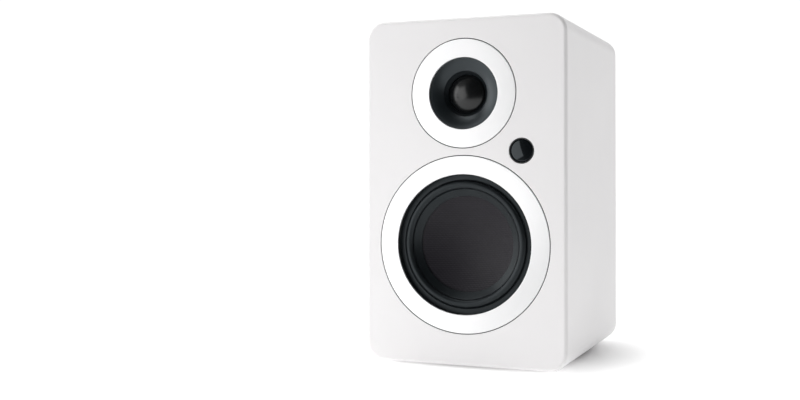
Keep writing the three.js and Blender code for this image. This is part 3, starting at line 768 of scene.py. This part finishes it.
def add_woofer_motor():
    former = [(12.5, 17.6), (12.9, 17.6), (12.9, 34), (13.5, 34), (13.5, 41.2), (12.5, 41.2)]
    coil = turned("woofer_coil", former, WOOFER, COPPER, 0.1, 96)
    show(coil, "woofer_moving", "copper_winding", "woofer_voice_coil")
    pleats = curve(60, lambda t: (30.2 - t * 16.6, 27.7 - 0.6 * math.cos(t * 8 * math.pi)))
    sheet = behind([(38.6, 27.7), (31.2, 27.6), *pleats], 0.6)
    cloth = turned("pleated_spider", sheet, WOOFER, SPIDER, 0.1, 128)
    flexing(cloth, "spider_cloth", "woofer_moving", WOOFER, 30.5, 14.0, "woofer_spider")
    nodes = ("woofer_top_plate", "woofer_magnet", "woofer_yoke")
    add_magnet_system(WOOFER, nodes, (14.3, 30), (17, 35), (11.8, 31), 0.7, 128)
    low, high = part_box("woofer_terminal_strip")
    place = Vector((WOOFER.x, 0, low.z + 0.7 * MM))
    strip = block("solder_strip", 16, 1.4, 29.9, 34, place, STRIP, 0.3, 0.15)
    show(strip, CABINET, "strip_board", "woofer_terminal_strip")
    for side, x in (("left", -5), ("right", 5)):
        place = Vector((WOOFER.x + x * MM, 0, (low.z + high.z) / 2 + 0.75 * MM))
        tag = block(f"solder_tag_{side}", 3, 2.7, 31, 32, place, NICKEL, 0.4, 0.1)
        show(tag, CABINET, "motor_steel")


# ---------------------------------------------------------------- tweeter


def horn_profile():
    """The flare, the steep wall of the throat, and the flange that the front plate is screwed to."""
    lip, throat, mouth = (24.9, 1.5), (15.8, 5.2), (13.5, 9.0)
    return [
        *bowed(lip, throat, 1.75, 28), *bowed(throat, mouth, 0.8, 6)[1:],
        (13.5, 10.2), (16.5, 10.2), (16.5, 11.2), (28.2, 11.2), (28.2, 5.5), (37, 5.5), (37, 1.5),
    ]


def add_tweeter():
    front, back = span("tweeter_trim_ring")
    rim = outer_radius("tweeter_trim_ring")
    ring = turned("tweeter_ring_face", tube(24.8, rim, front, back), TWEETER, TRIM_TWEETER, 0.3, 224)
    show(ring, CABINET, "trim_metal", "tweeter_trim_ring")
    add_gasket_and_gap_shade("tweeter_gasket_gap_shade", rim, TWEETER)
    horn = turned("flared_waveguide", horn_profile(), TWEETER, HORN, 0.25, 192)
    counterbore = [(0, 1), (2.9, 1), (2.9, 3.3), (1.7, 3.3), (1.7, 6), (0, 6)]
    cutters = []
    for node in [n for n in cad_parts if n.startswith("tweeter_screw")]:
        place = middle(node)
        cutters.append(turned("cutter", counterbore, place, HORN, 0, 32))
        show(pan_screw(node + "_head", 3.3, 2.5, 1.5, 1.3, 9.5, place), CABINET, "pressed_steel", node)
    show(cut(horn, *cutters), CABINET, "black_plastic", "tweeter_waveguide")
    add_dome()
    nodes = ("tweeter_front_plate", "tweeter_magnet", "tweeter_yoke")
    add_magnet_system(TWEETER, nodes, (13.2, 26), (16.2, 27.5), (10.6, 25.5), 0.5, 112)


def add_dome():
    """Coated silk dome on a short skirt, its coil, and the flat roll that centres it behind the throat."""
    edge, rise, base, skirt, thickness = 12.2, 4.0, 8.9, 10.2, 0.5
    sphere = (edge ** 2 + rise ** 2) / (2 * rise)
    centre = base - rise + sphere

    def skin(inward):
        out = edge - inward
        return curve(28, lambda t: (out * t, centre - math.sqrt((sphere - inward) ** 2 - (out * t) ** 2)))

    profile = [*skin(0), (edge, skirt), (edge - thickness, skirt), *reversed(skin(thickness))]
    dome = turned("silk_dome", profile, TWEETER, SILK, 0.3, 128)
    show(dome, "tweeter_moving", "dome_silk", "tweeter_dome")
    coil_front, coil_back = span("tweeter_voice_coil")
    hem = 0.4  # the roll's cloth runs in behind the skirt, in front of the coil
    turns = tube(11.6, 12.2, coil_front + hem, coil_back)
    coil = turned("tweeter_coil", turns, TWEETER, COPPER, 0.1, 96)
    show(coil, "tweeter_moving", "copper_winding", "tweeter_voice_coil")
    roll = curve(18, lambda t: (13.4 - 1.1 * t, skirt - 0.4 * math.sin(math.pi * t)))
    cloth = turned("dome_roll", behind([(16.2, skirt), *roll, (11.8, skirt)], 0.35), TWEETER, SHADE_DARKENED_CLOTH, 0.1, 128)
    flexing(cloth, "dome_silk", "tweeter_moving", TWEETER, 13.4, 12.4, "tweeter_surround")


# ---------------------------------------------------------------- front control


def add_control():
    knob = outer_radius("control_knob")
    back = span("control_knob")[1]
    face = curve(14, lambda t: (knob * 0.93 * t, 0.45 * t ** 2))
    disc = [*face, (knob, 0.95), (knob, back), (3.3, back), (3.3, 3), (0, 3)]
    cap = turned("control_cap", disc, CONTROL, GLOSS, 0.25, 128)
    show(cap, "control_dial", "gloss_black", "control_knob")
    rim = outer_radius("control_bezel")
    bezel = turned("control_rim", tube(knob + 0.35, rim, 0.1, 6), CONTROL, BLACK, 0.25, 128)
    show(bezel, CABINET, "black_plastic", "control_bezel")
    shaft = turned("encoder_spindle", tube(0, 3, *span("encoder_shaft")), CONTROL, ZINC, 0.3, 48)
    show(shaft, "control_dial", "motor_steel", "encoder_shaft")
    collar = turned("push_ring", tube(3.3, 5.2, *span("push_collar")), CONTROL, ZINC, 0.2, 48)
    show(collar, "control_plunger", "motor_steel", "push_collar")
    body_front, board_front = span("encoder_body")
    body = block("encoder_case", 14, 14, body_front, board_front, CONTROL, BLACK, 0.8, 0.3)
    bore = drill(5.6, body_front - 1, board_front - 2, CONTROL, 48)
    show(cut(body, bore), CABINET, "black_plastic", "encoder_body")
    frame_piece = block("board_bracket", 34, 22, BAFFLE_BACK, board_front, CONTROL, BLACK, 1.5, 0.3)
    inside = slab_cutter(28, 16, 1, BAFFLE_BACK - 1, board_front + 1, CONTROL)
    show(cut(frame_piece, inside), CABINET, "black_plastic", "control_bracket")
    board = block("control_circuit", 34, 22, *span("control_board"), CONTROL, BOARD, 0.6, 0.1)
    show(board, CABINET, "circuit_board", "control_board")


# ---------------------------------------------------------------- amplifier panel


def add_amplifier():
    low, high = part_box("amp_plate")
    size, centre = (high - low) / MM, (low + high) / 2
    plate = block("amp_panel", size.x, size.z, REAR, PLATE_BACK, centre, PANEL, 4, 0.4)
    openings = {"phono_sockets": (30.6, 14.6), "optical_socket": (11.6, 11.6), "terminal_base": (34.6, 14.6),
                "mains_inlet": (23.6, 12.6), "switch_housing": (13.6, 19.6)}
    cutters = [slab_cutter(width, height, 0.5, REAR - 1, PLATE_BACK + 1, middle(node))
               for node, (width, height) in openings.items()]
    show(cut(plate, *cutters), CABINET, "amp_panel", "amp_plate")
    screw_places = [(sx * (size.x / 2 - 6), sz * (size.z / 2 - 6)) for sx in (-1, 1) for sz in (-1, 0, 1)]
    for i, (x, z) in enumerate(screw_places):
        place = Vector((centre.x + x * MM, 0, centre.z + z * MM))
        name = f"panel_screw_{i + 1}"
        head = pan_screw(name, PLATE_BACK, 3.0, 1.5, 1.4, 1.9, place, COAT, points_back=True)
        show(head, CABINET, "pressed_steel")
    add_electronics()
    add_phono_sockets()
    add_optical_socket()
    add_inlet()
    add_switch()
    add_terminals()


def add_electronics():
    low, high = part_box("amp_tray")
    size, centre = (high - low) / MM, (low + high) / 2
    front = span("amp_tray")[0]
    tray = block("amp_tray_shell", size.x, size.z, front, REAR, centre, SHEET, 2, 0.3)
    hollow = slab_cutter(size.x - 3, size.z - 3, 1, front + 1.5, REAR + 1, centre)
    show(cut(tray, hollow), CABINET, "tray_steel", "amp_tray")
    board_front, board_back = span("amp_board")
    width, height = face_size("amp_board")
    board = block("amp_circuit", width, height, board_front, board_back, centre, BOARD, 0.8, 0.1)
    show(board, CABINET, "circuit_board", "amp_board")
    place = middle("mains_transformer")
    top = span("mains_transformer")[1]
    core = block("transformer_core", 36, 30, board_back, board_back + 12, place, IRON, 0.6, 0.4)
    show(core, CABINET, "lamination_steel", "mains_transformer")
    bobbin = block("transformer_winding", 21, 21, board_back + 12, top, place, COPPER, 3, 0.8)
    show(bobbin, CABINET, "copper_winding")
    for i, (x, z) in enumerate([(16, 4), (28, 4), (16, -10), (28, -10), (38, -3)]):
        spot = Vector((centre.x + x * MM, 0, centre.z + z * MM))
        can = tube(0, 4.6, board_back, board_back + 13)
        tin = turned(f"smoothing_can_{i + 1}", can, spot, BLACK, 0.5, 40)
        show(tin, CABINET, "black_plastic")


def add_phono_sockets():
    place = middle("phono_sockets")
    front, back = span("phono_sockets")
    face = PLATE_BACK + 1
    body = block("phono_block", 30, 14, front, face, place, BLACK, 0.8, 0.3)
    sides = {"right": -7, "left": 7}
    wells = [drill(4.3, face - 6, face + 1, place + Vector((x * MM, 0, 0)), 48) for x in sides.values()]
    show(cut(body, *wells), CABINET, "black_plastic", "phono_sockets")
    for side, x in sides.items():
        spot = place + Vector((x * MM, 0, 0))
        shell = turned(f"phono_shell_{side}", tube(3.7, 4.15, face - 5.5, back), spot, NICKEL, 0.12, 64)
        show(shell, CABINET, "motor_steel")
        material, slot = (RED, "red_plastic") if side == "right" else (WHITE, "black_plastic")
        insulator = tube(1.7, 3.55, face - 5.5, back - 1.2)
        core = turned(f"phono_insulator_{side}", insulator, spot, material, 0.15, 64)
        show(core, CABINET, slot)


def add_optical_socket():
    place = middle("optical_socket")
    front = span("optical_socket")[0]
    face = PLATE_BACK + 1
    body = block("optical_block", 11, 11, front, face, place, BLACK, 0.6, 0.3)
    well = slab_cutter(5.8, 5.8, 0.8, face - 8, face + 1, place)
    show(cut(body, well), CABINET, "black_plastic", "optical_socket")


def add_inlet():
    place = middle("mains_inlet")
    width, height = face_size("mains_inlet")
    front, face = span("mains_inlet")
    floor = face - 13
    flange = block("inlet_flange", width, height, PLATE_BACK, face, place, BLACK, 1.5, 0.5)
    body = block("cutter", width - 4, height - 3, front, PLATE_BACK + 1, place, BLACK, 1, 0.2)
    well = slab_cutter(17.2, 8.2, 4.05, floor, face + 1, place)
    show(cut(fused(flange, body), well), CABINET, "black_plastic", "mains_inlet")
    for side, x in (("left", -4.3), ("right", 4.3)):
        spot = place + Vector((x * MM, 0, 0))
        pin = turned(f"inlet_pin_{side}", tube(0, 1.2, floor, floor + 10.5), spot, NICKEL, 0.5, 32)
        show(pin, CABINET, "motor_steel")


def add_switch():
    place = middle("switch_housing")
    width, height = face_size("switch_housing")
    front, face = span("switch_housing")
    flange = block("switch_bezel", width, height, PLATE_BACK, face, place, BLACK, 1.2, 0.5)
    body = block("cutter", width - 2, height - 2, front, PLATE_BACK + 1, place, BLACK, 0.8, 0.2)
    well = slab_cutter(width - 4.2, height - 3.2, 0.6, face - 9, face + 1, place)
    show(cut(fused(flange, body), well), CABINET, "black_plastic", "switch_housing")
    pivot = Vector((place.x, FRONT + (face - 3) * MM, place.z))
    tilt = Matrix.Translation(pivot) @ Matrix.Rotation(math.radians(10), 4, "X")
    half = (width - 5) / 2
    crown = curve(12, lambda t: (7.9 - 15.8 * t, 3.4 + 0.8 * (2 * t - 1) ** 2))
    outline = filleted([*crown, (-7.9, 0.5), (-3, -3), (3, -3), (7.9, 0.5)], 0.35, True)
    bm = bmesh.new()
    rows = []
    for x, shrink in ((-half, 0.25), (-half + 0.25, 0), (half - 0.25, 0), (half, 0.25)):
        scale = 1 - shrink / 8
        rows.append([bm.verts.new(tilt @ Vector((x * MM, out * scale * MM, along * scale * MM)))
                     for along, out in outline])
    join_rows(bm, rows)
    show(from_bmesh("rocker_key", bm, BLACK), "power_rocker", "black_plastic", "power_rocker")


def add_terminals():
    place = middle("terminal_base")
    width, height = face_size("terminal_base")
    front, stud_back = span("terminal_base")
    face = PLATE_BACK + 2.5
    plate = block("terminal_plate", width, height, PLATE_BACK, face, place, BLACK, 3, 0.6)
    root = block("cutter", 34, 14, front, PLATE_BACK + 1, place, BLACK, 1, 0.2)
    show(fused(plate, root), CABINET, "black_plastic", "terminal_base")
    for colour, material, slot in (("red", RED, "red_plastic"), ("black", BLACK, "black_plastic")):
        spot = middle(f"terminal_cap_{colour}")
        cap_front, cap_back = span(f"terminal_cap_{colour}")
        radius = outer_radius(f"terminal_cap_{colour}")
        bore = 2.4
        thread = curve(48, lambda t: (1.85 + 0.15 * math.cos(t * 30 * math.pi),
                                      face + t * (stud_back - face - 0.5)))
        threaded = [(0, face), *thread[1:], (1.4, stud_back), (0, stud_back)]
        stud = turned(f"terminal_stud_{colour}", threaded, spot, GOLD, 0, 40)
        show(stud, CABINET, "gold_plate")

        def flutes(angle, depth, start=cap_front + 1.6, end=cap_back - 1.2):
            fade = min(1.0, max(0.0, (depth - start) / 0.8), max(0.0, (end - depth) / 0.8))
            return 1 - 0.045 * fade * (0.5 + 0.5 * math.cos(18 * angle))

        side = curve(10, lambda t: (radius, cap_front + (cap_back - cap_front) * t))
        grip = [(bore, cap_front), *side, (bore, cap_back)]
        cap = turned(f"binding_cap_{colour}", grip, spot, material, 0.3, 144, flutes)
        show(cap, f"cap_{colour}", slot, f"terminal_cap_{colour}")
        ring_radius = outer_radius(f"terminal_collar_{colour}")
        collar = tube(bore, ring_radius, *span(f"terminal_collar_{colour}"))
        ring = turned(f"binding_collar_{colour}", collar, spot, GOLD, 0.2, 64)
        show(ring, f"collar_{colour}", "gold_plate", f"terminal_collar_{colour}")


# ---------------------------------------------------------------- stage, light and camera


def add_floor():
    """A pale floor that ends just ahead of the camera. It glows faintly, apart from a round patch where the
    speaker
    stands: there the glow fades out, which paints a soft shadow round and under the speaker's base."""
    reach, painted_shadow_radii, glow = 0.62, (0.062, 0.112), 0.52
    bm = bmesh.new()
    bmesh.ops.create_grid(bm, x_segments=8, y_segments=8, size=6)
    for vert in bm.verts:
        vert.co.y = max(vert.co.y, FRONT - reach)
    n = Nodes("studio_floor")
    tone = n.mix(n.span(n.noise(3, 2), 0, 1), (0.90, 0.90, 0.90), (0.92, 0.92, 0.92))
    away = n.vector("LENGTH", n.vector("SUBTRACT", n.place, (CABINET_CENTRE.x, CABINET_CENTRE.y, 0)))
    n.shader.inputs["Emission Color"].default_value = (1, 1, 1, 1)
    # the glow fades to nothing near the speaker: a painted shadow round and under its base
    n.feed(n.shader.inputs["Emission Strength"], n.span(away, 0, glow, painted_shadow_radii))
    floor_paint = n.finish(tone, n.span(n.noise(8, 2), 0.6, 0.7))
    from_bmesh("floor", bm, floor_paint)


def add_panel_light(name, place, target, width, height, power, lean=0):
    light = bpy.data.lights.new(name, "AREA")
    light.shape, light.size, light.size_y = "RECTANGLE", width, height
    light.energy = power
    obj = bpy.data.objects.new(name, light)
    obj.location = place
    obj.rotation_mode = "QUATERNION"
    aim = (Vector(target) - Vector(place)).to_track_quat("-Z", "Y")
    obj.rotation_quaternion = aim @ Quaternion((0, 0, 1), math.radians(lean))
    bpy.context.scene.collection.objects.link(obj)


def add_world():
    """A white studio: softer overhead, and dim at the far left and in front where the camera stands."""
    world = bpy.data.worlds.new("studio")
    world.use_nodes = True
    bpy.context.scene.world = world
    tree = world.node_tree
    backdrop = tree.nodes["Background"]
    backdrop.inputs["Color"].default_value = (1, 1, 1, 1)
    direction = tree.nodes.new("ShaderNodeTexCoord").outputs["Generated"]

    def shade(value, source, result, smooth="SMOOTHSTEP"):
        node = tree.nodes.new("ShaderNodeMapRange")
        node.interpolation_type = smooth
        node.inputs["From Min"].default_value, node.inputs["From Max"].default_value = source
        node.inputs["To Min"].default_value, node.inputs["To Max"].default_value = result
        tree.links.new(value, node.inputs["Value"])
        return node.outputs["Result"]

    def times(a, b):
        node = tree.nodes.new("ShaderNodeMath")
        node.operation = "MULTIPLY"
        tree.links.new(a, node.inputs[0])
        tree.links.new(b, node.inputs[1])
        return node.outputs[0]

    axes = tree.nodes.new("ShaderNodeSeparateXYZ")
    tree.links.new(direction, axes.inputs[0])
    facing = tree.nodes.new("ShaderNodeVectorMath")
    facing.operation = "DOT_PRODUCT"
    facing.inputs[1].default_value = Vector((0.50, -0.85, 0.30)).normalized()
    tree.links.new(direction, facing.inputs[0])
    dark = shade(facing.outputs["Value"], (0.45, 0.80), (1.0, 0.12))
    backwards = shade(axes.outputs["Y"], (-0.3, 0.3), (0.40, 1.07))
    across = shade(axes.outputs["X"], (0.1, 0.7), (1.0, 0.84))
    left = shade(axes.outputs["X"], (-0.97, -0.73), (0.35, 1.0))
    overhead = shade(axes.outputs["Z"], (0.3, 0.95), (1.0, 0.7))
    sides = times(across, left)
    tree.links.new(times(times(times(backwards, sides), overhead), dark), backdrop.inputs["Strength"])


def add_camera():
    """Stands 0.69 m in front of the cabinet, to its right and at half its height, turned to the left."""
    camera = bpy.data.cameras.new("camera")
    camera.sensor_width, camera.lens = 36.0, 47.84
    camera.shift_y = -0.0424
    obj = bpy.data.objects.new("camera", camera)
    obj.location = (0.2403, FRONT - 0.6880, 0.1314)
    turn, tilt = math.radians(-22.64), math.radians(0.53)
    ahead = Vector((math.sin(turn) * math.cos(tilt), math.cos(turn) * math.cos(tilt), math.sin(tilt)))
    obj.rotation_mode = "QUATERNION"
    obj.rotation_quaternion = ahead.to_track_quat("-Z", "Y")
    bpy.context.scene.collection.objects.link(obj)
    bpy.context.scene.camera = obj


def add_studio():
    add_floor()
    add_world()
    add_panel_light("key_softbox", (-0.67, -1.05, 0.30), (0, -0.09, 0.14), 0.75, 0.95, 4.5, lean=22)
    add_panel_light("side_softbox", (-1.10, -0.38, 0.34), (0, -0.09, 0.12), 0.8, 0.9, 6.5)
    add_panel_light("overhead_softbox", (-0.45, -0.1, 1.25), (0, 0, 0), 0.8, 0.8, 6.0)
    bpy.context.scene.view_settings.view_transform = "Standard"


add_camera()
add_studio()
add_cabinet()
add_wadding()
add_woofer()
add_tweeter()
add_control()
add_amplifier()
